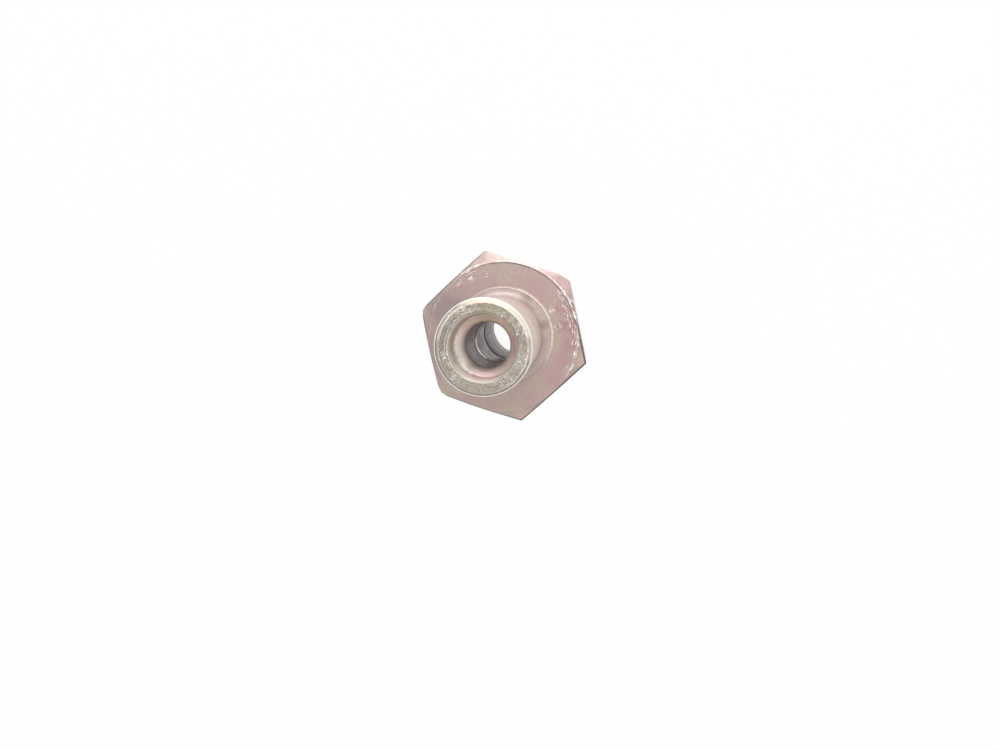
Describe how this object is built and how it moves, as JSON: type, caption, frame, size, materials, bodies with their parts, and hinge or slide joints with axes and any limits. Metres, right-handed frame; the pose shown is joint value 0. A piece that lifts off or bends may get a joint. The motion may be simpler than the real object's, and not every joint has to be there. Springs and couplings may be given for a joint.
{
  "type": "retaining nut",
  "caption": "Long hexagon retaining nut with a plain round spigot, bored through, counterbored at the spigot end and threaded at the back.",
  "frame": {"origin": "centre of the hexagon's back face", "axes": "+Z along the bore and the spigot, away from the hexagon; two opposite corners of the hexagon lie on the X axis"},
  "size_m": [0.0196, 0.017, 0.0424],
  "materials": {
    "plated_steel": "turned steel, iridescent yellow zinc plating, worn and slightly scratched"
  },
  "bodies": {
    "root": {"retaining_nut": "plated_steel"}
  },
  "joints": []
}
